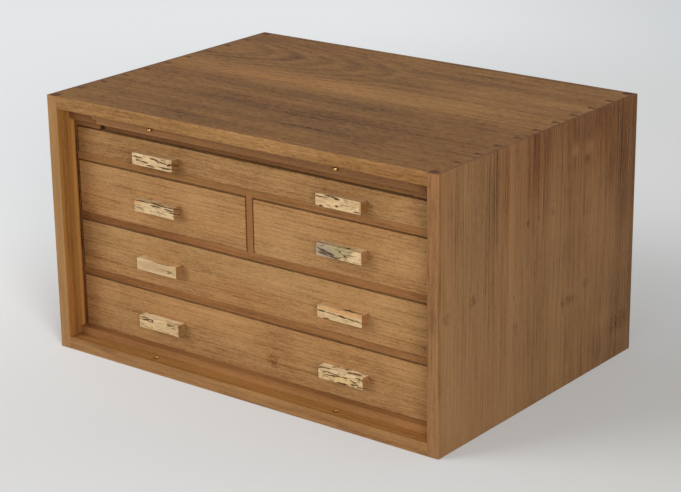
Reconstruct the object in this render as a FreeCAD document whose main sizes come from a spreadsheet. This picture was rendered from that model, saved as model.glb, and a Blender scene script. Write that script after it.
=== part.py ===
"""A bench-top tool chest: a dovetailed case, five dovetailed drawers and a slide-away front cover.

Millimetres, +Z up, the front faces -Y, and the origin is the centre of the underside.
"""
import FreeCAD, Part
import Sketcher
import os
from FreeCAD import Placement, Rotation, Vector

doc = FreeCAD.newDocument("ToolChest")

# Driving sizes, each written once: alias, value, what it is
SIZES = [
    ("case_width", 610, "outside width of the case"),
    ("case_depth", 432, "outside depth of the case"),
    ("case_height", 343, "outside height of the case"),
    ("case_board", 16, "thickness of the top, bottom and sides"),
    ("case_lap", 4.5, "wood left outside the case tails, so that the sides show no joint"),
    ("case_tails", 10, "tails at each end of the top and of the bottom"),
    ("case_pin_tip", 3.5, "narrow end of a case pin"),
    ("case_half_pin", 12, "narrow end of the pin at the front and back corners"),
    ("dovetail_slope", 6, "run of a dovetail's flank for each 1 of flare"),
    ("front_recess", 33.5, "case's front edge back to the drawer fronts and rails"),
    ("cover_recess", 21, "case's front edge back to the stowed cover and the sill"),
    ("panel_thickness", 12, "back panel"),
    ("panel_inset", 6, "case's back edge in to the back panel"),
    ("panel_tongue", 6, "back panel's tongue, out into its grooves"),
    ("panel_tongue_thickness", 6, "back panel's tongue, front to back"),
    ("panel_gap", 0.5, "room for the back panel to swell, each way"),
    ("rail_thickness", 9.5, "front rails, runners and sill"),
    ("rail_depth", 45, "front rails, front to back"),
    ("housing_depth", 5, "how far rails and runners are let into the sides"),
    ("runner_width", 32, "drawer runners, across the case"),
    ("centre_runner_width", 60, "runner below the centre divider"),
    ("runner_end_gap", 3, "runners' back ends to the back panel"),
    ("divider_thickness", 9.5, "centre divider"),
    ("divider_tongue", 4, "centre divider's tongues into the frames above and below it"),
    ("opening_middle", 66.5, "clear height for the middle drawer; the bottom one takes what is left"),
    ("opening_upper", 71, "clear height for the two half-width drawers"),
    ("opening_top", 36, "clear height for the top drawer"),
    ("slot_runner_thickness", 10.5, "runners that carry the stowed cover"),
    ("slot_runner_width", 42, "runners that carry the stowed cover, across the case"),
    ("slot_rail_setback", 2, "slot rail's front behind the runners' front ends"),
    ("slot_tenon", 8, "slot rail's stub tenons"),
    ("slot_tenon_thickness", 4, "slot rail's stub tenons"),
    ("cover_thickness", 16, "cover frame"),
    ("cover_top_gap", 1.2, "stowed cover to the underside of the top"),
    ("cover_side_gap", 1, "cover to each side of the case"),
    ("cover_height_gap", 1.5, "cover's height below the clear height of the case"),
    ("cover_pull_gap", 0.5, "closed cover in front of the pulls"),
    ("cover_member", 48, "width of the cover's rails and stiles"),
    ("cover_groove", 8, "depth of the cover frame's groove and length of its stub tenons"),
    ("cover_panel_thickness", 6, "cover's panel, groove and tenons"),
    ("pin_diameter", 5, "brass locating pins"),
    ("pin_length", 22, "brass locating pins"),
    ("pin_reach", 5, "how far the pins stand out of the cover"),
    ("pin_bevel", 1, "bevel round the pins' noses"),
    ("pin_spacing", 292, "between the two pins"),
    ("bush_diameter", 8, "brass bushes in the bottom board, outside"),
    ("bush_length", 9, "brass bushes in the bottom board"),
    ("bush_clearance", 0.4, "bush's bore over the pin's diameter"),
    ("fit_clearance", 0.05, "round pieces in their drilled holes, on the radius"),
    ("run_gap", 0.3, "drawers and cover above what they slide on"),
    ("drawer_top_gap", 1.2, "drawer front to the rail above"),
    ("drawer_side_gap", 1, "drawer to the case or divider, each side"),
    ("drawer_rear_gap", 10.5, "drawers' back ends to the back panel"),
    ("drawer_front_thickness", 16, "drawer front"),
    ("drawer_side_thickness", 9.5, "drawer side"),
    ("drawer_back_thickness", 9.5, "drawer back"),
    ("drawer_bottom_thickness", 4, "drawer bottom and its groove"),
    ("drawer_groove", 4.5, "depth of the groove for the drawer bottom"),
    ("drawer_groove_rise", 4.5, "drawer's lower edge up to that groove"),
    ("drawer_bottom_gap", 0.3, "room for the drawer bottom in its grooves"),
    ("drawer_lap", 4, "wood left outside the tails in a drawer front"),
    ("drawer_pin_tip", 3, "narrow end of a drawer pin"),
    ("drawer_half_pin", 4, "narrow end of the pins at a drawer's upper and lower edges"),
    ("shallow_tails", 2, "tails at each corner of the top drawer"),
    ("deep_tails", 3, "tails at each corner of the other drawers"),
    ("stop_length", 40, "drawer stops, across the case"),
    ("stop_depth", 12, "drawer stops, front to back"),
    ("stop_height", 3, "drawer stops"),
    ("pull_width", 67, "wooden pull"),
    ("pull_height", 15.5, "wooden pull"),
    ("pull_projection", 13, "wooden pull, out from the drawer front"),
    ("pull_chamfer", 0.6, "pull's edges"),
    ("pull_drop", 4, "pull's centre below the drawer front's centre"),
    ("top_pull_drop", 5.5, "the same on the top drawer, whose front is the lowest"),
    ("screw_spacing", 36, "between a pull's two screws"),
    ("screw_rise", 2, "screws above the pull's centre"),
    ("screw_diameter", 4, "screw shank"),
    ("screw_bite", 9, "how far a screw enters its pull"),
    ("screw_head_diameter", 7, "screw head"),
    ("screw_head_height", 2.4, "screw head"),
]

sheet = doc.addObject("Spreadsheet::Sheet", "Sizes")
for row, (alias, value, note) in enumerate(SIZES, start=1):
    sheet.set(f"A{row}", alias)
    sheet.set(f"B{row}", str(value))
    sheet.set(f"C{row}", note)
    sheet.setAlias(f"B{row}", alias)
doc.recompute()


class Length(str):
    """An expression on the sheet that can be added, subtracted, scaled and negated."""

    def __add__(self, other):
        return Length(f"({self} + {other})")

    def __sub__(self, other):
        return Length(f"({self} - {other})")

    def __mul__(self, other):
        return Length(f"({self} * {other})")

    def __truediv__(self, other):
        return Length(f"({self} / {other})")

    def __neg__(self):
        return Length(f"(-1 * {self})")


class Sizes:
    """Gives each driving size as an expression: S.case_width stands for Sizes.case_width."""

    def __getattr__(self, alias):
        return Length("Sizes." + alias)


S = Sizes()
ZERO = Length("0")

# Planes of the case, worked out from the driving sizes
inner_half = S.case_width / 2 - S.case_board
case_front = -S.case_depth / 2
case_back = S.case_depth / 2
drawer_front = case_front + S.front_recess
cover_front = case_front + S.cover_recess
panel_back = case_back - S.panel_inset
panel_front = panel_back - S.panel_thickness
runner_back = panel_front - S.runner_end_gap
rail_back = drawer_front + S.rail_depth
half_divider = S.divider_thickness / 2
pull_centre = (inner_half + half_divider) / 2

# Levels, from the top down: the cover's slot, then each drawer's opening over its own rails
inner_top = S.case_height - S.case_board
cover_base = inner_top - S.cover_top_gap - S.cover_thickness
slot_floor = cover_base - S.run_gap
slot_level = slot_floor - S.slot_runner_thickness
floor_top = slot_level - S.opening_top
rail_upper = floor_top - S.rail_thickness
floor_upper = rail_upper - S.opening_upper
rail_middle = floor_upper - S.rail_thickness
floor_middle = rail_middle - S.opening_middle
rail_lower = floor_middle - S.rail_thickness
floor_bottom = S.case_board + S.rail_thickness
opening_bottom = rail_lower - floor_bottom

subparts = []


def keep(piece):
    """Marks an object as one of the chest's own pieces, to be written out under its Label."""
    subparts.append(piece)
    return piece


def new_body(name):
    return doc.addObject("PartDesign::Body", name)


def span(feature, low, high):
    """Sizes and places a box feature between two corners."""
    for side, axis, start, end in zip(("Length", "Width", "Height"), "xyz", low, high):
        feature.setExpression(side, end - start)
        feature.setExpression("Placement.Base." + axis, start)
    return feature


def add_box(body, name, low, high):
    return span(body.newObject("PartDesign::AdditiveBox", name), low, high)


def cut_box(body, name, low, high):
    return span(body.newObject("PartDesign::SubtractiveBox", name), low, high)


def turn(feature, start, direction, **sizes):
    """Stands a round feature at its start point, with its axis along a row axis."""
    turns = {"y": Rotation(Vector(1, 0, 0), -90), "z": Rotation()}
    feature.Placement = Placement(Vector(), turns[direction])
    for axis, place in zip("xyz", start):
        feature.setExpression("Placement.Base." + axis, place)
    for title, size in sizes.items():
        feature.setExpression(title, size)
    return feature


def rod(body, name, start, direction, radius, length):
    feature = body.newObject("PartDesign::AdditiveCylinder", name)
    return turn(feature, start, direction, Radius=radius, Height=length)


def taper(body, name, start, direction, first_radius, last_radius, length):
    feature = body.newObject("PartDesign::AdditiveCone", name)
    return turn(feature, start, direction, Radius1=first_radius, Radius2=last_radius, Height=length)


def many_sided(body, name, start, direction, sides, radius, length):
    """A rod with flats in place of a curve, for small pieces that are repeated often."""
    feature = body.newObject("PartDesign::AdditivePrism", name)
    feature.Polygon = sides
    return turn(feature, start, direction, Circumradius=radius, Height=length)


def drill(body, name, start, direction, radius, depth):
    feature = body.newObject("PartDesign::SubtractiveCylinder", name)
    return turn(feature, start, direction, Radius=radius, Height=depth)


def bar(name, low, high):
    """A plain sawn piece between two corners."""
    body = new_body(name)
    add_box(body, name + "_stock", low, high)
    return body


def mirrored(source, name, plane_x=ZERO):
    """The opposite-handed copy of a piece, across a plane square to X."""
    copy = doc.addObject("Part::Mirroring", name)
    copy.Source = source
    copy.Normal = Vector(1, 0, 0)
    copy.setExpression("Base.x", plane_x)
    return copy


def group(name, pieces):
    """Like pieces that share a node, as separate solids."""
    compound = doc.addObject("Part::Compound", name)
    compound.Links = pieces
    return compound


class Dovetails:
    """One corner's row of dovetails: the same tails are added to one board and cut from the other."""

    def __init__(self, start, width, count, half_pin, pin_tip, length):
        self.count = count
        self.length = length
        self.tip = (width - half_pin * 2 - (count - 1) * pin_tip) / count
        self.root = self.tip - length / S.dovetail_slope * 2
        self.pitch = self.tip + pin_tip
        self.first = start + half_pin + self.tip / 2

    def outline(self, body, name, plane, along, level, flip):
        """One tail's trapezoid: its root on the shoulder line, flaring to its tip."""
        sketch = body.newObject("Sketcher::SketchObject", name)
        support = [f for f in body.Origin.OriginFeatures if f.Role == plane][0]
        sketch.AttachmentSupport = [(support, "")]
        sketch.MapMode = "FlatFace"
        sketch.AttachmentOffset = Placement(Vector(), Rotation(Vector(0, 0, 1), 180 if flip else 0))
        for axis, place in zip("xyz", (along, self.first, level)):
            sketch.setExpression("AttachmentOffset.Base." + axis, place)
        corners = [Vector(0, -10, 0), Vector(0, 10, 0), Vector(12, 12, 0), Vector(12, -12, 0)]
        for start, end in zip(corners, corners[1:] + corners[:1]):
            sketch.addGeometry(Part.LineSegment(start, end))
        for edge in range(4):
            sketch.addConstraint(Sketcher.Constraint("Coincident", edge, 2, (edge + 1) % 4, 1))
        sketch.addConstraint(Sketcher.Constraint("PointOnObject", 0, 1, -2))
        sketch.addConstraint(Sketcher.Constraint("Symmetric", 0, 1, 0, 2, -1))
        sketch.addConstraint(Sketcher.Constraint("Symmetric", 2, 1, 2, 2, -1))
        for kind, first, second, title, size in [
            ("DistanceY", (0, 1), (0, 2), "root", self.root),
            ("DistanceY", (2, 2), (2, 1), "tip", self.tip),
            ("DistanceX", (0, 2), (2, 1), "length", self.length),
        ]:
            index = sketch.addConstraint(Sketcher.Constraint(kind, *first, *second, 10))
            sketch.renameConstraint(index, title)
            sketch.setExpression("Constraints." + title, size)
        return sketch

    def row(self, body, name, kind, plane, along, level, thickness, flip):
        """A pad or pocket of one tail, repeated along the corner."""
        tail = body.newObject("PartDesign::" + kind, name)
        tail.Profile = self.outline(body, name + "_outline", plane, along, level, flip)
        tail.Type = "Length"
        tail.Reversed = kind == "Pocket"
        tail.setExpression("Length", thickness)
        pattern = body.newObject("PartDesign::LinearPattern", name + "_row")
        pattern.Originals = [tail]
        axis = {"XY_Plane": "Y_Axis", "YZ_Plane": "Z_Axis"}[plane]
        pattern.Direction = ([f for f in body.Origin.OriginFeatures if f.Role == axis][0], [""])
        pattern.Mode = "Spacing"
        pattern.setExpression("Offset", self.pitch)
        pattern.setExpression("Occurrences", self.count)
        body.Tip = pattern

    def add_tails(self, body, name, plane, along, level, thickness, flip=False):
        self.row(body, name, "Pad", plane, along, level, thickness, flip)

    def cut_sockets(self, body, name, plane, along, level, thickness, flip=False):
        self.row(body, name, "Pocket", plane, along, level, thickness, flip)


# The case: top and bottom carry the tails, the sides their pins behind a lap
tail_length = S.case_board - S.case_lap
case_pins = (S.case_half_pin, S.case_pin_tip)
case_corner = Dovetails(case_front, S.case_depth, S.case_tails, *case_pins, tail_length)
groove_front = panel_front
groove_back = panel_front + S.panel_tongue_thickness


def case_flat(name, underside, groove_low):
    """The top or bottom board, with its tails and its groove for the back panel."""
    body = new_body(name)
    upper = underside + S.case_board
    add_box(body, name + "_board", (-inner_half, case_front, underside), (inner_half, case_back, upper))
    case_corner.add_tails(body, name + "_right", "XY_Plane", inner_half, underside, S.case_board)
    case_corner.add_tails(body, name + "_left", "XY_Plane", -inner_half, underside, S.case_board, flip=True)
    groove_corner = (inner_half, groove_back, groove_low + S.panel_tongue)
    cut_box(body, name + "_groove", (-inner_half, groove_front, groove_low), groove_corner)
    return body


case_top = keep(case_flat("case_top", inner_top, inner_top))
case_bottom = keep(case_flat("case_bottom", ZERO, S.case_board - S.panel_tongue))

# Two bushed holes in the bottom board take the cover's pins when it stands in front of the pulls
pull_front = drawer_front - S.pull_projection
bush_y = pull_front - S.cover_pull_gap - S.cover_thickness / 2
bush_x = S.pin_spacing / 2
bush_floor = S.case_board - S.bush_length
bush_radius = S.bush_diameter / 2
for side, place in (("left", -bush_x), ("right", bush_x)):
    seat = (place, bush_y, bush_floor)
    drill(case_bottom, "bush_hole_" + side, seat, "z", bush_radius + S.fit_clearance, S.bush_length)

bush = new_body("bush_right")
rod(bush, "bush_tube", (bush_x, bush_y, bush_floor), "z", bush_radius, S.bush_length)
bush_bore = (S.pin_diameter + S.bush_clearance) / 2
drill(bush, "bush_bore", (bush_x, bush_y, bush_floor), "z", bush_bore, S.bush_length)
keep(group("pin_bushes", [bush, mirrored(bush, "bush_left")]))

side = new_body("case_side_left")
outside = -S.case_width / 2
add_box(side, "side_board", (outside, case_front, ZERO), (-inner_half, case_back, S.case_height))
case_corner.cut_sockets(side, "side_top", "XY_Plane", -inner_half, inner_top, S.case_board, flip=True)
case_corner.cut_sockets(side, "side_bottom", "XY_Plane", -inner_half, ZERO, S.case_board, flip=True)
groove_low_corner = (-inner_half - S.panel_tongue, groove_front, S.case_board)
cut_box(side, "side_groove", groove_low_corner, (-inner_half, groove_back, inner_top))
housed = -inner_half - S.housing_depth
for title, level, thickness in [
    ("lower", rail_lower, S.rail_thickness),
    ("middle", rail_middle, S.rail_thickness),
    ("upper", rail_upper, S.rail_thickness),
    ("slot", slot_level, S.slot_runner_thickness),
]:
    housing_high = (-inner_half, runner_back, level + thickness)
    cut_box(side, "housing_" + title, (housed, drawer_front, level), housing_high)
keep(side)
keep(mirrored(side, "case_side_right"))

# The back panel floats in grooves, with notched corners and its swelling room at the top
panel = new_body("back_panel")
field_half = inner_half - S.panel_gap
panel_top = inner_top - S.panel_gap
field_base = S.case_board + S.panel_gap
add_box(panel, "panel_field", (-field_half, panel_front, field_base), (field_half, panel_back, panel_top))
tongue_half = inner_half + S.panel_tongue - S.panel_gap
tongue_low = (-tongue_half, groove_front, field_base)
add_box(panel, "side_tongues", tongue_low, (tongue_half, groove_back, panel_top))
end_low = (-field_half, groove_front, S.case_board - S.panel_tongue)
end_high = (field_half, groove_back, inner_top + S.panel_tongue - S.panel_gap * 2)
add_box(panel, "end_tongues", end_low, end_high)
keep(panel)

# The frames that part the drawers: a rail across the front, runners let into the sides behind it
sill_high = (inner_half, rail_back, floor_bottom)
keep(bar("front_sill", (-inner_half, cover_front, S.case_board), sill_high))


def front_rail(name, level):
    return bar(name, (housed, drawer_front, level), (-housed, rail_back, level + S.rail_thickness))


def divider_groove(body, name, base, front, rear):
    """A groove for one of the centre divider's tongues."""
    cut_box(body, name, (-half_divider, front, base), (half_divider, rear, base + S.divider_tongue))


divider_base = floor_upper - S.divider_tongue
keep(front_rail("rail_lower", rail_lower))
middle_rail = keep(front_rail("rail_middle", rail_middle))
divider_groove(middle_rail, "divider_seat", divider_base, drawer_front, rail_back)
upper_rail = keep(front_rail("rail_upper", rail_upper))
divider_groove(upper_rail, "divider_head", rail_upper, drawer_front, rail_back)

rear_rail_front = runner_back - S.rail_depth
rear_rail_low = (housed, rear_rail_front, rail_middle)
rear_rail = keep(bar("rail_rear", rear_rail_low, (-housed, runner_back, floor_upper)))
divider_groove(rear_rail, "rear_seat", divider_base, rear_rail_front, runner_back)

runner_low = (-S.centre_runner_width / 2, rail_back, rail_middle)
runner_high = (S.centre_runner_width / 2, rear_rail_front, floor_upper)
centre_runner = keep(bar("centre_runner", runner_low, runner_high))
divider_groove(centre_runner, "runner_seat", divider_base, rail_back, rear_rail_front)

divider = new_body("centre_divider")
divider_low = (-half_divider, drawer_front, divider_base)
add_box(divider, "divider_board", divider_low, (half_divider, runner_back, rail_upper))
head_high = (half_divider, rail_back, rail_upper + S.divider_tongue)
add_box(divider, "divider_head_tongue", (-half_divider, drawer_front, rail_upper), head_high)
keep(divider)

runner_inside = -inner_half + S.runner_width
side_runners = []
for title, level, outer, rear in [
    ("bottom", S.case_board, -inner_half, runner_back),
    ("lower", rail_lower, housed, runner_back),
    ("middle", rail_middle, housed, rear_rail_front),
    ("upper", rail_upper, housed, runner_back),
]:
    runner_corner = (runner_inside, rear, level + S.rail_thickness)
    side_runners.append(bar("runner_" + title, (outer, rail_back, level), runner_corner))
runners_left = keep(group("drawer_runners_left", side_runners))
keep(mirrored(runners_left, "drawer_runners_right"))

# The slot for the cover: two runners whose ends show at the front, and a rail tenoned between them
slot_inside = -inner_half + S.slot_runner_width
slot_tenon_base = slot_level + (S.slot_runner_thickness - S.slot_tenon_thickness) / 2
slot_rail_front = drawer_front + S.slot_rail_setback
slot_rail_back = slot_rail_front + S.rail_depth
slot_runner_high = (slot_inside, runner_back, slot_floor)
slot_runner = bar("slot_runner_left", (housed, drawer_front, slot_level), slot_runner_high)
mortise_low = (slot_inside - S.slot_tenon, slot_rail_front, slot_tenon_base)
mortise_high = (slot_inside, slot_rail_back, slot_tenon_base + S.slot_tenon_thickness)
cut_box(slot_runner, "slot_mortise", mortise_low, mortise_high)
keep(slot_runner)
keep(mirrored(slot_runner, "slot_runner_right"))

slot_rail_high = (-slot_inside, slot_rail_back, slot_floor)
slot_rail = bar("slot_rail", (slot_inside, slot_rail_front, slot_level), slot_rail_high)
tenon_end = S.slot_tenon - slot_inside
tenon_high = (tenon_end, slot_rail_back, slot_tenon_base + S.slot_tenon_thickness)
add_box(slot_rail, "slot_tenons", (-tenon_end, slot_rail_front, slot_tenon_base), tenon_high)
keep(slot_rail)

# The cover: a grooved frame with stub tenons and a flat panel, stowed flat above the top drawer
cover_half = inner_half - S.cover_side_gap
cover_height = inner_top - S.case_board - S.cover_height_gap
cover_rear = cover_front + cover_height
cover_top = cover_base + S.cover_thickness
groove_base = cover_base + (S.cover_thickness - S.cover_panel_thickness) / 2
groove_top = groove_base + S.cover_panel_thickness
stile_inside = -cover_half + S.cover_member
mortise_end = stile_inside - S.cover_groove

stile_high = (stile_inside, cover_rear, cover_top)
stile = bar("cover_stile_left", (-cover_half, cover_front, cover_base), stile_high)
stile_groove_high = (stile_inside, cover_rear, groove_top)
cut_box(stile, "stile_groove", (mortise_end, cover_front, groove_base), stile_groove_high)
keep(stile)
keep(mirrored(stile, "cover_stile_right"))


def cover_rail(name, front, rear, groove, tenon):
    """A rail between the stiles, grooved along its inner edge, with a stub tenon at each end.

    The groove and the tenon are given as their front and rear planes.
    """
    body = bar(name, (stile_inside, front, cover_base), (-stile_inside, rear, cover_top))
    tenon_low = (mortise_end, tenon[0], groove_base)
    add_box(body, name + "_tenons", tenon_low, (-mortise_end, tenon[1], groove_top))
    groove_low = (stile_inside, groove[0], groove_base)
    cut_box(body, name + "_groove", groove_low, (-stile_inside, groove[1], groove_top))
    return body


front_inner = cover_front + S.cover_member
front_seat = front_inner - S.cover_groove
rear_inner = cover_rear - S.cover_member
rear_seat = rear_inner + S.cover_groove
front_groove = (front_seat, front_inner)
rear_groove = (rear_inner, rear_seat)
front_tenon = (cover_front, front_seat)
rear_tenon = (rear_seat, cover_rear)
pin_rail = keep(cover_rail("cover_rail_front", cover_front, front_inner, front_groove, front_tenon))
keep(cover_rail("cover_rail_rear", rear_inner, cover_rear, rear_groove, rear_tenon))

cover_panel_low = (mortise_end + S.panel_gap, front_seat + S.panel_gap, groove_base)
cover_panel_high = (-mortise_end - S.panel_gap, rear_seat - S.panel_gap, groove_top)
keep(bar("cover_panel", cover_panel_low, cover_panel_high))

# Brass pins in the cover's front rail, which drop into the bushes when the cover closes the front
pin_axis = cover_base + S.cover_thickness / 2
pin_start = cover_front - S.pin_reach
pin_radius = S.pin_diameter / 2
pin_hole_length = S.pin_length - S.pin_reach
for title, place in (("left", -bush_x), ("right", bush_x)):
    hole_start = (place, cover_front, pin_axis)
    drill(pin_rail, "pin_hole_" + title, hole_start, "y", pin_radius + S.fit_clearance, pin_hole_length)

pin = new_body("pin_right")
pin_shoulder = pin_start + S.pin_bevel
rod(pin, "pin_rod", (bush_x, pin_shoulder, pin_axis), "y", pin_radius, S.pin_length - S.pin_bevel)
taper(pin, "pin_nose", (bush_x, pin_start, pin_axis), "y", pin_radius - S.pin_bevel, pin_radius, S.pin_bevel)
keep(group("cover_pins", [pin, mirrored(pin, "pin_left")]))


# The drawers: dovetailed at all four corners, with the bottom slid in under the back
front_inside = drawer_front + S.drawer_front_thickness
drawer_rear = panel_front - S.drawer_rear_gap
back_front = drawer_rear - S.drawer_back_thickness
bottom_front = front_inside - S.drawer_groove
screw_tip = drawer_front - S.screw_bite
screw_radius = S.screw_diameter / 2
screw_hole_radius = screw_radius + S.fit_clearance
screw_offset = S.screw_spacing / 2


def pull_block(name, centre_x, centre_z, screw_z):
    """A plain block with eased edges, drilled from behind for its two screws."""
    body = new_body(name)
    low = (centre_x - S.pull_width / 2, pull_front, centre_z - S.pull_height / 2)
    high = (centre_x + S.pull_width / 2, drawer_front, centre_z + S.pull_height / 2)
    block = add_box(body, name + "_block", low, high)
    doc.recompute()
    edges = body.newObject("PartDesign::Chamfer", name + "_edges")
    edges.Base = (block, [""])
    edges.UseAllEdges = True
    edges.setExpression("Size", S.pull_chamfer)
    body.Tip = edges
    for side, place in (("left", centre_x - screw_offset), ("right", centre_x + screw_offset)):
        hole = f"{name}_hole_{side}"
        drill(body, hole, (place, screw_tip, screw_z), "y", screw_hole_radius, S.screw_bite)
    return body


SHANK_SIDES = 8
HEAD_SIDES = 12


def pull_screw(name, x, z):
    """A pan-headed screw from inside the drawer front."""
    body = new_body(name)
    shank = S.screw_bite + S.drawer_front_thickness
    many_sided(body, name + "_shank", (x, screw_tip, z), "y", SHANK_SIDES, screw_radius, shank)
    head_radius = S.screw_head_diameter / 2
    head_start = (x, front_inside, z)
    many_sided(body, name + "_head", head_start, "y", HEAD_SIDES, head_radius, S.screw_head_height)
    return body


def drawer(label, left, right, floor, opening, tails, drop, wide=True):
    """One drawer's pieces by name. A wide drawer has two pulls, a half-width one a single pull."""
    low = floor + S.run_gap
    high = floor + opening - S.drawer_top_gap
    groove_low = low + S.drawer_groove_rise
    groove_high = groove_low + S.drawer_bottom_thickness
    thickness = S.drawer_side_thickness
    left_inside = left + thickness
    right_inside = right - thickness
    groove_left = left_inside - S.drawer_groove
    groove_right = right_inside + S.drawer_groove
    half_pin = S.drawer_half_pin
    pin_tip = S.drawer_pin_tip
    front_tail = S.drawer_front_thickness - S.drawer_lap
    front_corner = Dovetails(low, high - low, tails, half_pin, pin_tip, front_tail)
    back_height = high - groove_high
    back_corner = Dovetails(groove_high, back_height, tails, half_pin, pin_tip, S.drawer_back_thickness)
    pieces = {}

    name = label + "_side_left"
    side = new_body(name)
    add_box(side, name + "_board", (left, front_inside, low), (left_inside, back_front, high))
    add_box(side, name + "_heel", (left, back_front, low), (left_inside, drawer_rear, groove_high))
    front_corner.add_tails(side, name + "_fore", "YZ_Plane", front_inside, left, thickness, flip=True)
    back_corner.add_tails(side, name + "_aft", "YZ_Plane", back_front, left, thickness)
    groove_corner = (left_inside, drawer_rear, groove_high)
    cut_box(side, name + "_groove", (groove_left, bottom_front, groove_low), groove_corner)
    pieces["side_left"] = side
    pieces["side_right"] = mirrored(side, label + "_side_right", (left + right) / 2)

    name = label + "_front"
    front = new_body(name)
    add_box(front, name + "_board", (left, drawer_front, low), (right, front_inside, high))
    for hand, face in (("left", left), ("right", right_inside)):
        row = f"{name}_{hand}"
        front_corner.cut_sockets(front, row, "YZ_Plane", front_inside, face, thickness, flip=True)
    groove_corner = (groove_right, front_inside, groove_high)
    cut_box(front, name + "_groove", (groove_left, bottom_front, groove_low), groove_corner)
    pieces["front"] = front

    name = label + "_back"
    back = new_body(name)
    add_box(back, name + "_board", (left, back_front, groove_high), (right, drawer_rear, high))
    for hand, face in (("left", left), ("right", right_inside)):
        back_corner.cut_sockets(back, f"{name}_{hand}", "YZ_Plane", back_front, face, thickness)
    pieces["back"] = back

    gap = S.drawer_bottom_gap
    bottom_low = (groove_left + gap, bottom_front + gap, groove_low)
    bottom_high = (groove_right - gap, drawer_rear, groove_high)
    pieces["bottom"] = bar(label + "_bottom", bottom_low, bottom_high)

    pull_z = (low + high) / 2 - drop
    screw_z = pull_z + S.screw_rise
    for hand, centre in (("left", -pull_centre), ("right", pull_centre))[: 2 if wide else 1]:
        for side, place in (("outer", centre - screw_offset), ("inner", centre + screw_offset)):
            hole = f"{name}_{hand}_{side}_hole"
            start = (place, drawer_front, screw_z)
            drill(front, hole, start, "y", screw_hole_radius, S.drawer_front_thickness)
    pull_name = label + "_pull"
    pull = pull_block(pull_name + ("_left" if wide else ""), -pull_centre, pull_z, screw_z)
    screw = pull_screw(label + "_screw", -pull_centre - screw_offset, screw_z)
    screws = [screw, mirrored(screw, label + "_screw_inner", -pull_centre)]
    if wide:
        pieces["pulls"] = group(pull_name + "s", [pull, mirrored(pull, pull_name + "_right")])
        screws += [mirrored(one, one.Name + "_far") for one in screws]
    else:
        pieces["pull"] = pull
    pieces["pull_screws"] = group(label + "_pull_screws", screws)
    return pieces


full_left = -inner_half + S.drawer_side_gap
full_right = inner_half - S.drawer_side_gap
half_right = -half_divider - S.drawer_side_gap
deep = (S.deep_tails, S.pull_drop)
shallow = (S.shallow_tails, S.top_pull_drop)
drawer_sets = [
    drawer("drawer_top", full_left, full_right, floor_top, S.opening_top, *shallow),
    drawer("drawer_upper_left", full_left, half_right, floor_upper, S.opening_upper, *deep, wide=False),
    drawer("drawer_middle", full_left, full_right, floor_middle, S.opening_middle, *deep),
    drawer("drawer_bottom", full_left, full_right, floor_bottom, opening_bottom, *deep),
]
swapped = {"side_left": "side_right", "side_right": "side_left"}
for pieces in drawer_sets:
    for piece in pieces.values():
        keep(piece)
for title, piece in drawer_sets[1].items():
    keep(mirrored(piece, "drawer_upper_right_" + swapped.get(title, title)))

# Stops glued to the rails, which meet the drawer fronts from behind
stop_front = front_inside + S.run_gap
half_stop = S.stop_length / 2
stops = []
drawer_floors = {"bottom": floor_bottom, "middle": floor_middle, "upper": floor_upper, "top": floor_top}
for title, floor in drawer_floors.items():
    stop_low = (-pull_centre - half_stop, stop_front, floor)
    stop_high = (-pull_centre + half_stop, stop_front + S.stop_depth, floor + S.stop_height)
    stops.append(bar("stop_" + title, stop_low, stop_high))
stops += [mirrored(stop, stop.Name + "_right") for stop in stops]
keep(group("drawer_stops", stops))

doc.recompute()
for item in doc.Objects:
    if "Invalid" in item.State or "Error" in item.State:
        raise RuntimeError(f"{item.Name} failed: {item.State}")
for piece in subparts:
    if piece.Shape.isNull() or not piece.Shape.isValid():
        raise RuntimeError(f"{piece.Label} has no valid shape")

os.makedirs("parts", exist_ok=True)
for piece in subparts:
    piece.Shape.exportStep(f"parts/{piece.Label}.step")
print(len(subparts), "sub-parts")
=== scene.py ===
"""The looks of a dovetailed bench-top tool chest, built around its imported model."""
from math import cos, e, radians, sin, tau

import bmesh
import bpy
from mathutils import Matrix, Vector


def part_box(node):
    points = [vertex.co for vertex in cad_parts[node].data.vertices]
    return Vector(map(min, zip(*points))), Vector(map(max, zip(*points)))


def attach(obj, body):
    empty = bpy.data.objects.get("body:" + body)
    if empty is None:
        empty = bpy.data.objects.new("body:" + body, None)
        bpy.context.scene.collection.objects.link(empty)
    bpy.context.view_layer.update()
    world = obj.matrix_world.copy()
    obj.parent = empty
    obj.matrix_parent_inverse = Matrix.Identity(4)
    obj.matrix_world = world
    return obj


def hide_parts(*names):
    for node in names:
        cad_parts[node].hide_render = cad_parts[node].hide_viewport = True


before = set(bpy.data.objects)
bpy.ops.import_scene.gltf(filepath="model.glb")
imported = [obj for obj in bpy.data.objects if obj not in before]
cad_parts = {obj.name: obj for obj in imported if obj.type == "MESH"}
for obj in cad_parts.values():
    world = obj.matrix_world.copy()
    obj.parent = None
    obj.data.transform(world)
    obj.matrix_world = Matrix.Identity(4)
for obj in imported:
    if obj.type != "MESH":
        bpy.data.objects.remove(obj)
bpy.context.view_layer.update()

# The photograph's view, through a long lens from the front right and a little above. The camera's
# place and angles come from the seven corners of the case that a 681 by 492 picture shows.
view_azimuth = radians(38.08)
view_elevation = radians(18.77)
view_roll = radians(-0.79)
view_place = Vector((1.5537, -1.9868, 0.9974))

camera_data = bpy.data.cameras.new("view")
camera_data.lens = 108.7
camera_data.sensor_width = 36
camera_data.clip_end = 50
camera = bpy.data.objects.new("view", camera_data)
bpy.context.scene.collection.objects.link(camera)
camera.matrix_world = (
    Matrix.Translation(view_place)
    @ Matrix.Rotation(view_azimuth, 4, "Z")
    @ Matrix.Rotation(radians(90) - view_elevation, 4, "X")
    @ Matrix.Rotation(view_roll, 4, "Z")
)
bpy.context.scene.camera = camera
bpy.context.scene.view_settings.view_transform = "Standard"


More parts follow.
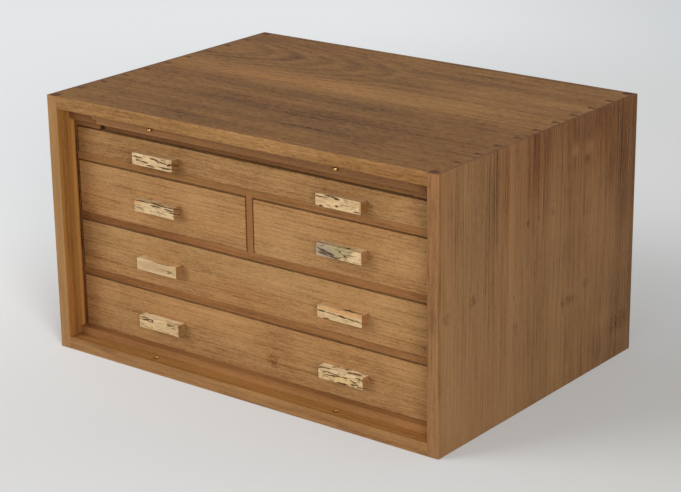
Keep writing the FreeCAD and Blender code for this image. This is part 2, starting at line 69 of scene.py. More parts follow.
# The floor is a wide sheet of white paper. It keeps the chest's soft shadow. Its colour is painted
# darker towards the right as painted shade, and the camera sees a painted glow on it that grows
# further back.
# Further away the camera sees a painted pale tone, lighter at the left and darker at the right, as
# where paper sweeps up into the light behind a photographed object.
class Wire:
    """One value on its way through a finish. Maths on it adds the nodes that work it out."""

    def __init__(self, finish, socket):
        self.finish = finish
        self.socket = socket

    def maths(self, operation, *values):
        return self.finish.add("ShaderNodeMath", {"operation": operation}, values)

    def __add__(self, other):
        return self.maths("ADD", self, other)

    def __sub__(self, other):
        return self.maths("SUBTRACT", self, other)

    def __mul__(self, other):
        return self.maths("MULTIPLY", self, other)

    def __truediv__(self, other):
        return self.maths("DIVIDE", self, other)

    def __pow__(self, other):
        return self.maths("POWER", self, other)

    def __rsub__(self, other):
        return self.maths("SUBTRACT", other, self)

    def __rpow__(self, other):
        return self.maths("POWER", other, self)

    def __abs__(self):
        return self.maths("ABSOLUTE", self)

    def __neg__(self):
        return self.maths("SUBTRACT", 0, self)

    def __gt__(self, other):
        return self.maths("GREATER_THAN", self, other)

    def __lt__(self, other):
        return self.maths("LESS_THAN", self, other)

    __radd__ = __add__

    def most(self, other):
        """The larger of the two values."""
        return self.maths("MAXIMUM", self, other)

    def step(self, low, high):
        """Rises smoothly from 0 at low to 1 at high."""
        settings = {"interpolation_type": "SMOOTHSTEP"}
        return self.finish.add("ShaderNodeMapRange", settings, {0: self, 1: low, 2: high})


class Finish:
    """A new material, or a new world, put together node by node."""

    def __init__(self, name, library=bpy.data.materials):
        self.owner = library.new(name)
        self.owner.use_nodes = True
        self.tree = self.owner.node_tree
        self.tree.nodes.clear()

    def add(self, kind, settings=None, values=(), output=0):
        """Adds one node: its settings first, then the value or the wire of each socket."""
        node = self.tree.nodes.new(kind)
        for name, value in (settings or {}).items():
            if name == "stops":
                while len(node.color_ramp.elements) < len(value):
                    node.color_ramp.elements.new(0.5)
                for element, (position, colour) in zip(node.color_ramp.elements, value):
                    element.position = position
                    element.color = colour
            else:
                setattr(node, name, value)
        sockets = values.items() if isinstance(values, dict) else enumerate(values)
        for key, value in sockets:
            if isinstance(value, Wire):
                self.tree.links.new(value.socket, node.inputs[key])
            else:
                node.inputs[key].default_value = value
        return Wire(self, node.outputs[output]) if node.outputs else None

    def point(self):
        """The place on the piece, in the chest's own frame, in millimetres."""
        metres = self.add("ShaderNodeTexCoord", output="Object")
        return self.add("ShaderNodeVectorMath", {"operation": "SCALE"}, {0: metres, "Scale": 1000})

    def parts(self, vector):
        return [self.add("ShaderNodeSeparateXYZ", values=[vector], output=axis) for axis in range(3)]

    def facing(self):
        """The normal's parts along x, y and z."""
        return self.parts(self.add("ShaderNodeTexCoord", output="Normal"))

    def looked_at(self):
        """1 for rays from the camera, a mirror or glass, and 0 for those that only light things."""
        camera_ray, mirror_ray, glass_ray = [
            self.add("ShaderNodeLightPath", output=ray)
            for ray in ("Is Camera Ray", "Is Glossy Ray", "Is Transmission Ray")
        ]
        return camera_ray.most(mirror_ray).most(glass_ray)

    def stretched(self, vector, scale, shift=0):
        """A vector moved by shift along its long diagonal, then scaled for a noise."""
        moved = self.add("ShaderNodeVectorMath", {"operation": "ADD"}, [vector, (shift, shift, shift)])
        return self.add("ShaderNodeVectorMath", {"operation": "MULTIPLY"}, [moved, scale])

    def noise(self, vector, detail=2, roughness=0.5, distortion=0):
        values = {"Vector": vector, "Scale": 1, "Detail": detail, "Roughness": roughness,
                  "Distortion": distortion}
        return self.add("ShaderNodeTexNoise", values=values)

    def ramp(self, value, *stops):
        return self.add("ShaderNodeValToRGB", {"stops": stops}, [value])

    def blend(self, share, first, second, kind="MIX"):
        """Mixes two colours."""
        settings = {"data_type": "RGBA", "blend_type": kind}
        return self.add("ShaderNodeMix", settings, {"Factor": share, 6: first, 7: second}, output=2)

    def surface(self, colour, roughness, relief, relief_height, **fixed):
        """Ends the finish in one shader. What is fixed is set on the shader itself."""
        bump = {"Height": relief, "Distance": relief_height, "Strength": 1}
        normal = self.add("ShaderNodeBump", values=bump)
        values = {"Base Color": colour, "Roughness": roughness, "Normal": normal, **fixed}
        return self.ending(self.add("ShaderNodeBsdfPrincipled", values=values))

    def ending(self, shader, kind="ShaderNodeOutputMaterial"):
        self.add(kind, values={"Surface": shader})
        return self.owner


def srgb(red, green, blue):
    """A colour as pictures write it, 0 to 255, in the light values that shaders use."""
    shares = [value / 255 for value in (red, green, blue)]
    linear = [s / 12.92 if s <= 0.04045 else ((s + 0.055) / 1.055) ** 2.4 for s in shares]
    return (*linear, 1)


def new_piece(name, mesh_code):
    """Closes a piece's bmesh and puts it in the scene, shaded smooth, as an object at the origin."""
    data = bpy.data.meshes.new(name)
    mesh_code.to_mesh(data)
    mesh_code.free()
    data.shade_smooth()
    piece = bpy.data.objects.new(name, data)
    bpy.context.scene.collection.objects.link(piece)
    return piece


floor_half = 20
floor_drop = 0.0002
floor_mesh = bmesh.new()
bmesh.ops.create_grid(floor_mesh, x_segments=1, y_segments=1, size=floor_half)
bmesh.ops.translate(floor_mesh, verts=floor_mesh.verts, vec=(0, 0, -floor_drop))
floor = new_piece("floor", floor_mesh)

paper = Finish("white_paper")
looked_at = paper.looked_at()
flat_x, flat_y, _ = paper.parts(paper.point())
rightwards = flat_x * cos(view_azimuth) + flat_y * sin(view_azimuth)
backwards = flat_y * cos(view_azimuth) - flat_x * sin(view_azimuth)
# Painted shade: the near paper is coloured darker towards the right.
painted_shade_paper_colour = paper.blend(rightwards.step(-900, 900), srgb(226, 226, 226), srgb(197, 195, 192))
pale_blue, strongest_glow = (0.95, 1.0, 1.03), 0.21
glow = paper.add(
    "ShaderNodeVectorMath", {"operation": "SCALE"},
    {0: pale_blue, "Scale": backwards.step(-400, 600) * strongest_glow * looked_at})
near_paper = paper.add("ShaderNodeBsdfPrincipled", values={
    "Base Color": painted_shade_paper_colour, "Roughness": 0.8, "Diffuse Roughness": 0.8,
    "Specular IOR Level": 0, "Emission Color": glow, "Emission Strength": 1})
# Painted light and shade: the far tone is lighter at the left and darker at the right.
far_painted_tone = paper.blend(rightwards.step(0, 1100), srgb(228, 230, 232), srgb(202, 205, 207))
far_paper = paper.add("ShaderNodeEmission", values={"Color": far_painted_tone, "Strength": 1})
near_end, far_start = 900, 2000
far_away = (flat_x * flat_x + flat_y * flat_y).step(near_end ** 2, far_start ** 2)
floor.data.materials.append(paper.ending(
    paper.add("ShaderNodeMixShader", values=[far_away * looked_at, near_paper, far_paper])))

# A large soft lamp stands to the left in front and a weaker one to the right, near the corner, in
# a pale room. Together they light a surface at about the colour that it is written in.
room = Finish("room", bpy.data.worlds)
lighting_walls = room.add("ShaderNodeBackground", values=[(0.94, 0.97, 1.0, 1), 0.46])
seen_walls = room.add("ShaderNodeBackground", values=[srgb(222, 224, 226), 1])
all_walls = room.add("ShaderNodeMixShader", values=[room.looked_at(), lighting_walls, seen_walls])
bpy.context.scene.world = room.ending(all_walls, "ShaderNodeOutputWorld")


def soft_lamp(name, place, aim, size, power, colour):
    """A round lamp that shines from its place towards aim. size is its width."""
    data = bpy.data.lights.new(name, "AREA")
    data.shape = "DISK"
    data.size = size
    data.energy = power
    data.color = colour
    lamp = bpy.data.objects.new(name, data)
    bpy.context.scene.collection.objects.link(lamp)
    lamp.location = place
    lamp.rotation_euler = (Vector(aim) - Vector(place)).to_track_quat("-Z", "Y").to_euler()


soft_lamp("key_lamp", place=(-2.2, -2.6, 1.9), aim=(0, 0, 0.15), size=2.8, power=82,
          colour=(1.0, 0.985, 0.965))
soft_lamp("corner_lamp", place=(1.75, -1.55, 0.7), aim=(0.3, -0.15, 0.17), size=0.9, power=24,
          colour=(1.0, 0.985, 0.96))


# The case's sides are boards of an oiled, mid-brown hardwood with the grain upright, each glued up
# from two. Their pins' end grain shows along the top's ends, inside a thin lap.
wood_relief = 0.00008


def timber(name, grain, face, colours, pith=(-300, 0), lean=0.02, ring=6, rings=0.12, bands=0.45,
           streaks=0.34, fibres=0.3, flecks=0.4, pores=0.09, coarse=1, clouds=0.3, wave=5,
           straight=1000, knots=(), patches=(), seam=None, second=(300, 0, -0.02, 0.12), tone=0.5,
           warmth=0.5, shift=0, ends=(0.62, 0.50, 0.40, 1), lap=None, inner=None):
    """An oiled board. grain and face are the axes of its fibres and of its broad face's normal.

    pith is the log's centre line (across, deep), which leans by lean as far along the grain as
    straight and runs level after it. ring is one year's width and wave how far the grain wanders.
    rings, bands, streaks, fibres, flecks, pores and clouds are how strongly each shows, and coarse
    how much larger the small ones are. tone is the board's lightness, warmth how much its colour
    varies, and shift picks another part of the noises. seam is where a second board is glued on,
    and second is (pith across, pith deep, lean, rings) of that one. A knot is (across, along,
    width, length, darkness) and a patch (across, along, width, length, tone, redness). ends tints
    the end grain, which is darkest further in than lap. inner is (way, tint, patches) for the face
    whose normal points that way. Lengths are in millimetres.
    """
    finish = Finish(name)
    point = finish.point()
    parts = finish.parts(point)
    lengthwise, deepwise = "xyz".index(grain), "xyz".index(face)
    along, across, deep = parts[lengthwise], parts[3 - lengthwise - deepwise], parts[deepwise]

    def drawn(lengthways, crossways, start=0):
        """Coordinates for a noise with that many cells per millimetre with and across the grain."""
        scale = [lengthways if axis == lengthwise else crossways for axis in range(3)]
        return finish.stretched(point, scale, shift + start)

    def spot(spot_across, spot_along, width, length):
        """A soft oval, 1 at its middle."""
        side_way = (across - spot_across) / width
        end_way = (along - spot_along) / length
        return e ** -(side_way * side_way + end_way * end_way)

    if seam is not None:
        past_seam = across > seam
        elsewhere = {0: (371, 523, 277), "Scale": past_seam}
        jump = finish.add("ShaderNodeVectorMath", {"operation": "SCALE"}, elsewhere)
        point = finish.add("ShaderNodeVectorMath", {"operation": "ADD"}, [point, jump])

    slow = finish.noise(drawn(0.003, 0.010), 2)
    quick = finish.noise(drawn(0.010, 0.045, 50), 2)
    bend = (slow - 0.5) * (wave * 4) + (quick - 0.5) * wave
    swirl, bruise = 0, 0
    if knots:
        bark = finish.noise(drawn(0.30, 0.30), 3, 0.65)
    for knot_across, knot_along, wide, long, darkness in knots:
        around = spot(knot_across, knot_along, wide * 1.5, long * 2.2)
        swirl = (across - knot_across) * around * 0.7 + swirl
        core = spot(knot_across, knot_along, wide, long)
        bruise = (core * (bark * 2.6 - 0.55)).step(0.25, 0.75) * darkness - around * 0.05 + bruise
    off_side = across - pith[0] + bend - swirl
    leaning = along.maths("MINIMUM", along, straight)
    off_deep = deep - pith[1] + leaning * lean
    ring_strength = rings
    if seam is not None:
        second_across, second_deep, second_lean, second_rings = second
        off_side = off_side - past_seam * (second_across - pith[0])
        off_deep = off_deep - past_seam * (second_deep - pith[1])
        off_deep = off_deep + leaning * past_seam * (second_lean - lean)
        ring_strength = past_seam * (second_rings - rings) + rings
    years = (off_side * off_side + off_deep * off_deep) ** 0.5 / ring + (quick - 0.5) * 0.5
    year = years.maths("FLOOR", years)
    season = years - year
    weight = finish.add("ShaderNodeTexWhiteNoise", {"noise_dimensions": "1D"}, {"W": year})
    late = season.step(0.05, 0.75) * (1 - season.step(0.75, 1.0)) * (weight * 0.9 + 0.15)
    late = late * (slow.step(0.3, 0.7) * 0.7 + 0.4)

    band = finish.noise(drawn(0.0018, 0.035, 100), 3, 0.55)
    streak = finish.noise(drawn(0.006 / coarse, 0.32 / coarse, 150), 3, 0.6)
    fleck = finish.noise(drawn(0.09 / coarse, 0.60 / coarse, 350), 3, 0.7)
    fibre = finish.noise(drawn(0.025, 0.9, 200), 2, 0.7)
    pore = finish.noise(drawn(0.20 / coarse, 1.3 / coarse, 250), 1).step(0.50, 0.68)
    cloud = finish.noise(drawn(0.011, 0.019, 300), 2)
    level = (tone - (late - 0.3) * ring_strength + (band - 0.5) * bands + (streak - 0.5) * streaks
             + (fleck - 0.5) * flecks + (fibre - 0.5) * fibres + (cloud - 0.5) * clouds
             - (pore - 0.3) * pores - bruise)
    red = (finish.noise(drawn(0.0020, 0.016, 400), 1) - 0.5) * warmth * 4 + bruise * 0.8

    facing = finish.facing()
    tint = None
    placed = [(patch, None) for patch in patches]
    if inner:
        way, tint, inner_patches = inner
        inner_face = (facing[deepwise] * way).step(0.7, 0.95)
        placed += [(patch, inner_face) for patch in inner_patches]
    for (patch_across, patch_along, width, length, lift, redness), on_face in placed:
        share = spot(patch_across, patch_along, width, length)
        if on_face:
            share = share * on_face
        level = level + share * lift
        red = red + share * redness
    if seam is not None:
        glue_line = 1 - abs(across - seam).step(0.1, 0.5)
        level = level - glue_line * 0.22

    pale, middle, dark = colours
    # The ramp's darkest colour is reached by deep knots and by painted shade, such as the dark rim
    # round the drawer fronts.
    darkest_knot_and_painted_shade = (*(value * 0.25 for value in dark[:3]), 1)
    redder, greener, pin_ends = (1.0, 0.86, 0.76, 1), (0.90, 0.95, 0.80, 1), (0.54, 0.40, 0.29, 1)
    colour = finish.ramp(level, (0.0, darkest_knot_and_painted_shade), (0.12, dark), (0.5, middle), (0.92, pale))
    colour = finish.blend(red, colour, redder, "MULTIPLY")
    colour = finish.blend(-red, colour, greener, "MULTIPLY")
    cut_end = abs(facing[lengthwise]).step(0.7, 0.95)
    colour = finish.blend(cut_end, colour, ends, "MULTIPLY")
    if lap:
        colour = finish.blend(cut_end * (abs(deep) < lap), colour, pin_ends, "MULTIPLY")
    if tint:
        colour = finish.blend(inner_face, colour, tint, "MULTIPLY")
    roughness = 0.55 + (fibre - 0.5) * 0.2 + pore * 0.15
    relief = (fibre - 0.5) * 0.6 - pore * 0.7 - late * 0.2
    return finish.surface(colour, roughness, relief, wood_relief, **{"Specular IOR Level": 0.1})


def dress(node_name, material, ease=0.00025):
    """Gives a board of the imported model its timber, and eases its edges a little."""
    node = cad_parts[node_name]
    node.data.materials.clear()
    node.data.materials.append(material)
    weld = node.modifiers.new("joined", "WELD")
    weld.merge_threshold = 0.000002
    flat = node.modifiers.new("flat", "DECIMATE")
    flat.decimate_type = "DISSOLVE"
    flat.angle_limit = radians(0.5)
    bevel = node.modifiers.new("eased", "BEVEL")
    bevel.width = ease
    bevel.segments = 2
    bevel.limit_method = "ANGLE"
    bevel.angle_limit = radians(30)
    normals = node.modifiers.new("shading", "WEIGHTED_NORMAL")
    normals.weight = 100


right_wood = (srgb(163, 123, 82), srgb(141, 104, 68), srgb(98, 65, 38))
right_knots = [(-149, 173, 8, 11, 0.28), (-199, 168, 11, 10, 0.22), (-61, 153, 5, 5, 0.24),
               (-58, 113, 8, 12, 0.18), (61, 113, 22, 9, 0.22), (-33, 238, 4, 7, 0.28),
               (-9, 238, 3, 5, 0.28), (22, 238, 6, 8, 0.24), (188, 47, 24, 18, 0.18),
               (102, 226, 14, 16, 0.12), (102, 125, 12, 8, 0.16), (99, 287, 7, 10, 0.22)]
# Among these marks of the grain, the patches low at the front are painted light and those at the rear
# and along the top are painted shade, for the light falling off along the side.
right_marks_and_painted_shade = [(-216, 170, 3, 400, -0.14, 0.1), (-190, 90, 34, 190, 0.12, 0.1),
                 (-112, 265, 16, 110, -0.1, -0.7), (-69, 170, 6, 400, 0.2, 0),
                 (-95, 170, 5, 300, 0.12, 0), (-18, 345, 18, 80, -0.13, 0.7),
                 (-140, 330, 60, 110, -0.02, -0.7), (22, 150, 22, 260, 0.1, -0.3),
                 (70, 303, 9, 9, 0.3, 0), (104, 300, 10, 8, 0.26, 0), (50, 345, 80, 60, -0.18, 0.1),
                 (-120, 0, 90, 90, 0.14, 0.1), (170, 330, 60, 90, -0.2, 0.2),
                 (200, 200, 30, 200, -0.12, 0.1), (185, 40, 40, 50, -0.12, 0.2),
                 (147, 63, 20, 14, 0.15, 0), (0, 343, 400, 130, -0.05, 0.8)]
dress("case_side_right", timber(
    "side_right_timber", "z", "x", right_wood, pith=(-420, 300), lean=0.03, seam=-1,
    second=(420, 300, -0.04, 0.14), ring=5.5, rings=0.16, bands=0.3, streaks=0.8, fibres=0.7,
    knots=right_knots, patches=right_marks_and_painted_shade, shift=120, warmth=0.3, ends=(0.82, 0.66, 0.52, 1),
    lap=300.5))
left_wood = (srgb(174, 131, 86), srgb(149, 109, 69), srgb(108, 71, 40))
left_knots = [(-120, 90, 9, 8, 0.4), (95, 230, 14, 8, 0.35), (150, 120, 5, 6, 0.3)]
left_patches = [(-216, 170, 3, 400, 0.04, -0.4), (-216, 90, 3, 90, 0.12, 0),
                (40, 200, 22, 300, 0.1, -0.3)]
# On the inner face, light and dark grain streaks and a painted shade strip where it meets the drawer
# fronts. The inner face's warm tint below is painted shade: the orange of the shaded recess.
left_wall_streaks_and_painted_shade = [(-189.5, 170, 2.6, 400, 0.5, 0), (-184, 170, 2.4, 400, -0.5, 0.3),
             (-202, 170, 3, 400, -0.2, 0.2), (-209, 200, 2, 120, -0.2, 0.2)]
dress("case_side_left", timber(
    "side_left_timber", "z", "x", left_wood, pith=(-420, -300), lean=-0.02, seam=14,
    second=(420, -300, 0.03, 0.12), ring=5.5, bands=0.5, streaks=0.5, knots=left_knots,
    patches=left_patches, shift=520, warmth=0.35, ends=(0.66, 0.54, 0.44, 1), lap=300.5,
    inner=(1, (1.22, 1.07, 0.74, 1), left_wall_streaks_and_painted_shade)))

# The top and the bottom are glued up from two boards as well, with the grain running across the
# chest. Their tails are let into the sides and end at the lap.
top_wood = (srgb(173, 129, 83), srgb(137, 98, 56), srgb(94, 62, 33))
top_patches = [(-216, 0, 3, 400, 0.2, 0), (-22, 0, 30, 420, -0.18, 0), (16, -40, 34, 330, 0.34, 0),
               (-120, 60, 50, 180, -0.16, 0), (-184, -95, 3, 45, -0.3, 0.3),
               (-176, -140, 3, 50, -0.2, 0.3), (-149, 72, 2.5, 45, -0.3, 0.2),
               (-62, -60, 3, 150, 0.12, 0), (178, 100, 3.5, 30, -0.32, 0.2),
               (190, -230, 30, 80, -0.1, 0.3), (110, 200, 90, 140, 0.1, 0)]
dress("case_top", timber(
    "top_timber", "x", "z", top_wood, pith=(-560, 200), lean=0, seam=-2, rings=0.06,
    second=(119, 243, 0.2, 0.26), straight=10, ring=10, bands=0.26, streaks=0.6, flecks=0.75,
    pores=0.2, coarse=1.6, patches=top_patches, tone=0.42, shift=40,
    inner=(1, (1.05, 0.97, 0.75, 1), ())))
bottom_wood = (srgb(170, 128, 84), srgb(146, 106, 66), srgb(106, 70, 40))
dress("case_bottom", timber(
    "bottom_timber", "x", "z", bottom_wood, pith=(-500, 120), seam=10, second=(600, 60, 0.02, 0.12),
    rings=0.3, streaks=0.8, flecks=0.6, tone=0.52, patches=[(-205, 200, 12, 160, -0.1, 0.2)],
    shift=910, inner=(1, (1.06, 0.955, 0.70, 1), ())))

# The back panel is one wide board that floats in grooves round the case. The photograph doesn't
# show it, so its arching grain and its two knots are guessed.
dress("back_panel", timber(
    "back_panel_timber", "x", "y", left_wood, pith=(150, 120), lean=0.15, ring=10, rings=0.22,
    knots=[(110, -140, 12, 9, 0.3), (220, 90, 9, 7, 0.3)], shift=1300))

# The sill and the rails part the drawers at the front. They are narrow strips of a redder cut of
# the case's timber, let into the sides.
rail_wood = (srgb(160, 114, 70), srgb(138, 95, 55), srgb(100, 64, 34))
sill_marks = [(-190, -180, 60, 70, -0.14, -0.2), (-190, -40, 60, 60, 0.1, -0.2),
              (-190, 170, 60, 70, -0.16, -0.2)]
strips = [("front_sill", 0.64, sill_marks),
          # The darker patches at the left ends of the lower and middle rails are painted shadow of the
          # left side.
          ("rail_lower", 0.48, [(-182, -230, 60, 110, -0.2, 0.2)]),
          ("rail_middle", 0.42, [(-182, -230, 60, 160, -0.26, 0.2)]),
          ("rail_upper", 0.55, ()), ("rail_rear", 0.5, ())]
for number, (node_name, tone, patches) in enumerate(strips):
    dress(node_name, timber(
        node_name + "_timber", "x", "z", rail_wood, pith=(-400, 60 + 30 * number), ring=5, rings=0.2,
        streaks=0.8, flecks=0.7, tone=tone, patches=patches, warmth=0.5, shift=1500 + 130 * number))

# Behind the rails, runners let into the sides carry the drawers, and a divider stands between the
# two half-width ones. Small stops glued to the frames meet the drawer fronts from behind.
runner_timber = timber("runner_timber", "y", "z", rail_wood, pith=(-500, -60), shift=2400)
for node_name in ["centre_runner", "drawer_runners_left", "drawer_runners_right"]:
    dress(node_name, runner_timber)
dress("centre_divider", timber(
    "divider_timber", "z", "x", rail_wood, pith=(-420, 80), ring=5, shift=2900))
dress("drawer_stops", timber("stop_timber", "x", "z", rail_wood, shift=3050))

# Two thicker runners and a rail tenoned between them make the slot for the stowed cover. Only the
# runners' front ends and the rail's edge show when the cover is in.
slot_timber = timber("slot_runner_timber", "y", "z", rail_wood, pith=(-500, 60), shift=2650,
                     ends=(0.92, 0.92, 0.92, 1))
for node_name in ["slot_runner_left", "slot_runner_right"]:
    dress(node_name, slot_timber)
# The slot rail's dark tone and its darker left end are painted shade under the stowed cover.
dress("slot_rail", timber(
    "slot_rail_timber", "x", "z", rail_wood, pith=(-420, 100), tone=0.26, shift=3150,
    patches=[(-180, -243, 60, 2.5, -0.5, 0.3), (-180, 200, 60, 120, 0.12, 0)]))

# The drawer fronts are a paler cut of the same timber, each with its own tone, the top drawer's darker
# partly as painted shade under the case's top. Their fine, straight grain runs across. A dark rim of
# painted shade along the top and the ends stands for the shadow in the gap round each front.
front_wood = (srgb(190, 150, 103), srgb(165, 125, 80), srgb(118, 80, 45))
front_tones = {"drawer_top": 0.31, "drawer_upper_left": 0.5, "drawer_upper_right": 0.43,
               "drawer_middle": 0.45, "drawer_bottom": 0.47}
for number, (drawer, tone) in enumerate(front_tones.items()):
    low, high = [corner * 1000 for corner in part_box(drawer + "_front")]
    middle = (low + high) / 2
    # The dark rim along each front's top and ends is painted shade of the gap round it.
    painted_gap_shade = [(high.z, middle.x, 0.9, 3000, -0.8, 1), (middle.z, low.x, 900, 0.9, -0.7, 1),
           (middle.z, high.x, 900, 0.8, -0.6, 1)]
    # Painted shade darkens the lower part of each front below the top drawer and the left end of the
    # left-hand fronts; the other entries lighten or darken smaller patches, such as round the bottom
    # knot.
    painted_shade_and_marks = []
    if "top" not in drawer:
        painted_shade_and_marks.append((low.z, middle.x, (high.z - low.z) * 0.4, 3000, -0.1, 0.1))
    if low.x < -200:
        painted_shade_and_marks.append((middle.z, low.x, 900, 30, -0.06, 0.6))
    if "upper_right" in drawer:
        painted_shade_and_marks += [(low.z + 15, 40, 40, 60, 0.24, 0), (high.z, 190, 24, 60, -0.06, 0.2)]
    if drawer == "drawer_middle":
        painted_shade_and_marks.append((middle.z - 8, -12, 16, 40, -0.1, 0.4))
    knots = ()
    if drawer == "drawer_bottom":
        knots = [(low.z + 22, 32, 11, 13, 0.2)]
        painted_shade_and_marks.append((low.z + 32, 34, 18, 26, -0.05, 0.3))
    dress(drawer + "_front", ease=0.00015, material=timber(
        drawer + "_front_timber", "x", "y", front_wood, pith=(520 - 60 * number, -60), ring=4,
        rings=0.14, bands=0.26, streaks=0.5, flecks=0.55, pores=0.17, clouds=0.5, wave=3, tone=tone,
        warmth=0.4, knots=knots, patches=painted_shade_and_marks, inner=(-1, None, painted_gap_shade), shift=5000 + 310 * number))

# The drawers' sides, backs and bottoms are thin boards of a pale wood, dovetailed together, with
# the bottoms slid into grooves.
box_wood = (srgb(222, 194, 152), srgb(204, 172, 128), srgb(168, 130, 88))
box_side_timber = timber("drawer_side_timber", "y", "x", box_wood, pith=(-400, 0), shift=3300)
box_back_timber = timber("drawer_back_timber", "x", "y", box_wood, pith=(-400, 0), shift=3700)
box_bottom_timber = timber("drawer_bottom_timber", "x", "z", box_wood, pith=(0, -60), ring=9,
                           shift=4100)
for drawer in front_tones:
    dress(drawer + "_side_left", box_side_timber)
    dress(drawer + "_side_right", box_side_timber)
    dress(drawer + "_back", box_back_timber)
    dress(drawer + "_bottom", box_bottom_timber)


# The pulls are short blocks of spalted maple: cream wood that a fungus has marked with thin black
# lines and stains. Each is cut from its own piece, screwed on from inside the drawer.
def spalted(name, centre, shift, washes=(), strokes=(), lines=0.5, dashes=0.5):
    """Spalted maple with its grain along x, for the pull whose middle is at centre, (x, z).

    The marks lie in layers that dip towards the drawer. A wash is (along, up, length, height,
    colour) and a stroke (along, up, length, thickness, slope), in millimetres from the middle of
    the front face. An up of more than 7.75 is on the top face. lines and dashes are how strongly
    the small ones show.
    """
    finish = Finish(name)
    point = finish.point()
    x, y, z = finish.parts(point)

    def drawn(lengthways, crossways, start=0):
        return finish.stretched(point, (lengthways, crossways, crossways), shift + start)

    front_face, dip = -195.5, 0.35
    tremble = finish.noise(drawn(0.22, 0.30, 210), 2, 0.6)
    wander = finish.noise(drawn(0.16, 0.22, 240), 2, 0.6)
    along = x - centre[0] + (tremble - 0.5) * 3
    up = z - centre[1] + (y - front_face) * dip + (wander - 0.5) * 2.2

    fray = finish.noise(drawn(0.30, 0.9, 10), 2, 0.6)
    field = finish.noise(drawn(0.03, 0.17), 2, 0.5, 0.6)
    zone_line = 1 - abs(field - 0.5 + (fray - 0.5) * 0.05).step(0.006, 0.026)
    second_field = finish.noise(drawn(0.016, 0.26, 40), 1, 0.5, 0.3)
    second_line = 1 - abs(second_field - 0.46 + (fray - 0.5) * 0.04).step(0.005, 0.02)
    gaps = finish.noise(drawn(0.08, 0.2, 70), 1).step(0.46, 0.6)
    marks = finish.noise(drawn(0.12, 0.55, 90), 2, 0.5).step(0.60, 0.68)
    rows = finish.noise(drawn(0.02, 0.18, 120), 1).step(0.47, 0.6)
    ink = (zone_line.most(second_line) * gaps * lines).most(marks * rows * dashes)
    for at, height, length, thickness, slope in strokes:
        end_way = (along - at) / length
        side_way = (up - height - (along - at) * slope) / thickness
        ink = ink.most(1 - (end_way * end_way + side_way * side_way).step(0.4, 2.2))

    fibre = finish.noise(drawn(0.03, 1.4, 150), 2, 0.7)
    grain = finish.noise(drawn(0.05, 0.34, 160), 2, 0.6)
    cloud = finish.noise(drawn(0.02, 0.06, 180), 2)
    tone = cloud * 0.6 + grain * 0.5 + (fibre - 0.5) * 0.3
    colour = finish.ramp(tone, (0.30, srgb(176, 142, 98)), (0.52, srgb(204, 174, 129)),
                         (0.72, srgb(220, 192, 149)))
    for at, height, length, tall, wash in washes:
        end_way = (along - at) / length
        side_way = (up - height) / tall
        soak = e ** -((end_way * end_way + side_way * side_way) ** 2)
        colour = finish.blend(soak * (grain * 0.8 + 0.5), colour, wash)
    cut_end = abs(finish.facing()[0]).step(0.7, 0.95)
    end_tint, halo_brown, line_black = (0.62, 0.47, 0.35, 1), srgb(134, 86, 34), srgb(52, 34, 16)
    colour = finish.blend(cut_end, colour, end_tint, "MULTIPLY")
    colour = finish.blend((ink ** 0.5) * 0.8, colour, halo_brown)
    colour = finish.blend(ink * 0.9, colour, line_black)
    roughness = 0.5 + (fibre - 0.5) * 0.2
    return finish.surface(colour, roughness, fibre * 0.5 - ink * 0.5, wood_relief,
                          **{"Specular IOR Level": 0.25})


def pull(name, drawer, left, **marks):
    """One block, from the box of its node: a wide drawer's node holds two of them."""
    node = drawer + ("_pull" if "upper" in drawer else "_pulls")
    low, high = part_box(node)
    pull_width = 0.067
    if left:
        high.x = low.x + pull_width
    else:
        low.x = high.x - pull_width
    middle = (low + high) / 2
    block = bmesh.new()
    bmesh.ops.create_cube(block, size=1)
    bmesh.ops.scale(block, vec=high - low, verts=block.verts)
    bmesh.ops.translate(block, vec=middle, verts=block.verts)
    bmesh.ops.bevel(block, geom=block.edges[:], offset=0.0005, affect="EDGES", segments=3,
                    profile=0.5, material=-1)
    piece = new_piece(name, block)
    piece.modifiers.new("shading", "WEIGHTED_NORMAL").weight = 100
    centre = (middle.x * 1000, middle.z * 1000)
    piece.data.materials.append(spalted(name + "_maple", centre, **marks))
    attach(piece, drawer)
    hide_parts(node)


# The brown wash on the top faces of the top drawer's pulls is painted shade under the case's top.
brown = srgb(188, 148, 103)
pale_cream = srgb(238, 212, 168)
tan = srgb(186, 144, 96)
orange_tan = srgb(196, 148, 96)
blue_grey = srgb(146, 134, 118)
green_grey = srgb(158, 146, 104)
pull("pull_top_left", "drawer_top", True, shift=0, dashes=0.45, washes=[
    (0, 10.5, 40, 2.6, brown), (33, 2, 5, 6, srgb(186, 148, 106))], strokes=[
    (-25, 3.3, 7, 0.7, 0), (-24, -1, 3, 0.8, 0), (-14, -1.4, 6, 0.8, -0.05), (4, 4.4, 6, 0.9, -0.1),
    (18, 1.9, 9, 0.7, -0.08), (24, -3.9, 9, 0.9, 0.02), (30, 1.2, 3.5, 1.4, 0.3), (-3, -5, 6, 0.5, 0)])
pull("pull_top_right", "drawer_top", False, shift=331, lines=0.3, dashes=0.4, washes=[
    (0, 11, 44, 2.8, brown), (33.5, 0, 3, 9, srgb(178, 138, 94))], strokes=[
    (-14, 7.2, 4, 0.7, 0), (-4, 6.4, 5, 0.9, -0.1), (-1, 5.2, 3.5, 1.0, 0), (-25, 4.7, 8, 0.5, 0),
    (-25, -7.4, 3, 1.3, 0), (-2, -3.2, 2.2, 1.0, 0), (28, -5.5, 4, 0.6, 0), (8, -0.5, 5, 0.4, 0)])
